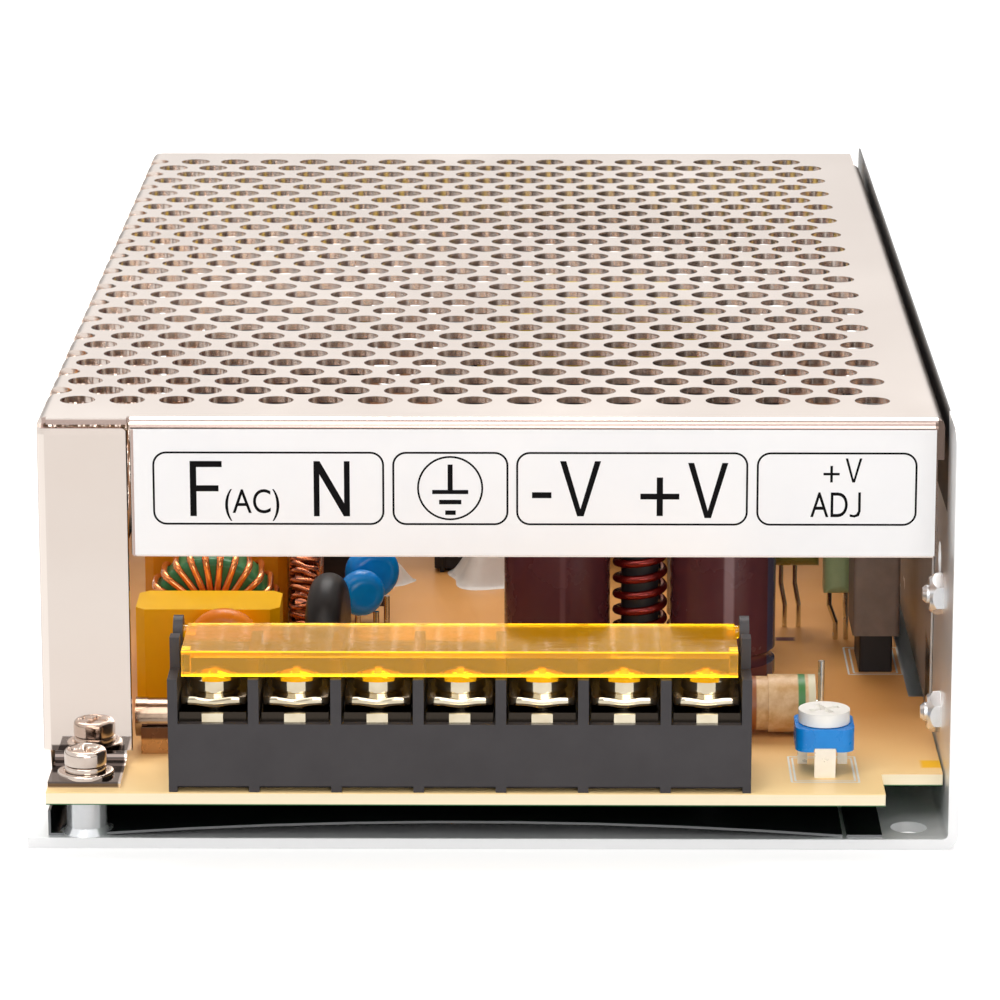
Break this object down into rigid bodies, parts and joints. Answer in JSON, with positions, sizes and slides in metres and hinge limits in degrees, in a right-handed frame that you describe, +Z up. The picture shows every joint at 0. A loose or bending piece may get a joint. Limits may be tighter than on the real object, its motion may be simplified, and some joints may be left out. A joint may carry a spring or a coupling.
{
  "type": "switching power supply",
  "caption": "Enclosed switching power supply: perforated sheet cover on a folded chassis, with a barrier terminal block, a hinged clear lid and a voltage trimmer at the open front.",
  "frame": {"origin": "under the middle of the whole unit, on the plane that the chassis stands on", "axes": "+Z up, +Y from the terminals to the back, +X to the chassis wall"},
  "size_m": [0.115, 0.1996, 0.0529],
  "materials": {
    "galvanised_sheet": "satin galvanised",
    "nickel_sheet": "satin nickel plated",
    "label_film": "smooth",
    "board_laminate": "satin",
    "black_film": "satin",
    "grey_film": "smooth",
    "zinc_steel": "bright zinc",
    "nickel_steel": "bright nickel",
    "block_plastic": "moulded",
    "amber_plastic": "clear amber",
    "blue_plastic": "smooth",
    "white_plastic": "smooth",
    "tinned_wire": "tinned",
    "fuse_glass": "clear",
    "tan_ceramic": "lacquered",
    "yellow_box": "smooth",
    "orange_box": "smooth",
    "orange_coating": "smooth",
    "green_ferrite": "lacquered",
    "copper_enamel": "enamelled copper",
    "copper_fine": "enamelled copper",
    "black_coating": "dull",
    "blue_coating": "smooth",
    "black_epoxy": "moulded",
    "dark_sleeve": "shrink sleeve",
    "dark_ferrite": "sintered",
    "yellow_tape": "tape",
    "sink_aluminium": "mill",
    "violet_sleeve": "shrink sleeve",
    "red_enamel": "enamelled copper",
    "olive_coating": "smooth",
    "pale_green_coating": "smooth",
    "grey_rubber": "matt"
  },
  "bodies": {
    "case": {"chassis": "galvanised_sheet", "cover": "nickel_sheet", "label": "label_film", "board": "board_laminate", "base_film": "black_film", "wall_film": "grey_film", "standoffs": "zinc_steel", "board_screws": "nickel_steel", "tab_washers": "nickel_steel", "case_screws": "nickel_steel", "wall_screws": "zinc_steel", "wall_nuts": "zinc_steel", "terminal_block": "block_plastic", "terminal_contacts": "nickel_steel", "trimmer_body": "blue_plastic", "trimmer_legs": "tinned_wire", "fuse_tube": "fuse_glass", "fuse_caps": "nickel_steel", "fuse_clips": "tinned_wire", "bleeder_resistor": "tan_ceramic", "x_capacitor": "yellow_box", "line_capacitor": "orange_box", "varistor": "orange_coating", "choke_core": "green_ferrite", "choke_windings": "copper_enamel", "line_inductor": "copper_fine", "thermistor": "black_coating", "y_capacitors": "blue_coating", "bridge_rectifier": "black_epoxy", "bulk_capacitors": "dark_sleeve", "transformer_core": "dark_ferrite", "transformer_coil": "yellow_tape", "heat_sink": "sink_aluminium", "power_transistors": "black_epoxy", "output_capacitors": "violet_sleeve", "rod_core": "dark_ferrite", "rod_winding": "red_enamel", "polyester_capacitor": "olive_coating", "film_capacitor": "pale_green_coating", "output_rectifier": "black_epoxy", "rectifier_sleeve": "grey_rubber", "control_chip": "black_epoxy", "small_parts": "black_epoxy", "component_leads": "tinned_wire"},
    "terminal_1": {"terminal_screw_1": "nickel_steel", "wire_clamp_1": "nickel_steel"},
    "terminal_2": {"terminal_screw_2": "nickel_steel", "wire_clamp_2": "nickel_steel"},
    "terminal_3": {"terminal_screw_3": "nickel_steel", "wire_clamp_3": "nickel_steel"},
    "terminal_4": {"terminal_screw_4": "nickel_steel", "wire_clamp_4": "nickel_steel"},
    "terminal_5": {"terminal_screw_5": "nickel_steel", "wire_clamp_5": "nickel_steel"},
    "terminal_6": {"terminal_screw_6": "nickel_steel", "wire_clamp_6": "nickel_steel"},
    "terminal_7": {"terminal_screw_7": "nickel_steel", "wire_clamp_7": "nickel_steel"},
    "terminal_lid": {"terminal_cover": "amber_plastic"},
    "trimmer_rotor": {"trimmer_dial": "white_plastic"}
  },
  "joints": [
    {"name": "terminal_screw_1_lift", "type": "slide", "parent": "case", "child": "terminal_1", "axis": [0, 0, 1], "range_m": [0, 0.002]},
    {"name": "terminal_screw_2_lift", "type": "slide", "parent": "case", "child": "terminal_2", "axis": [0, 0, 1], "range_m": [0, 0.002]},
    {"name": "terminal_screw_3_lift", "type": "slide", "parent": "case", "child": "terminal_3", "axis": [0, 0, 1], "range_m": [0, 0.002]},
    {"name": "terminal_screw_4_lift", "type": "slide", "parent": "case", "child": "terminal_4", "axis": [0, 0, 1], "range_m": [0, 0.002]},
    {"name": "terminal_screw_5_lift", "type": "slide", "parent": "case", "child": "terminal_5", "axis": [0, 0, 1], "range_m": [0, 0.002]},
    {"name": "terminal_screw_6_lift", "type": "slide", "parent": "case", "child": "terminal_6", "axis": [0, 0, 1], "range_m": [0, 0.002]},
    {"name": "terminal_screw_7_lift", "type": "slide", "parent": "case", "child": "terminal_7", "axis": [0, 0, 1], "range_m": [0, 0.002]},
    {"name": "terminal_lid_hinge", "type": "hinge", "parent": "case", "child": "terminal_lid", "pos_m": [-0.004, -0.08725, 0.025], "axis": [-1, 0, 0], "range_deg": [0, 75]},
    {"name": "trimmer_turn", "type": "hinge", "parent": "case", "child": "trimmer_rotor", "pos_m": [0.04115, -0.08965, 0.0141], "axis": [0, 0, 1], "range_deg": [-130, 130]}
  ]
}
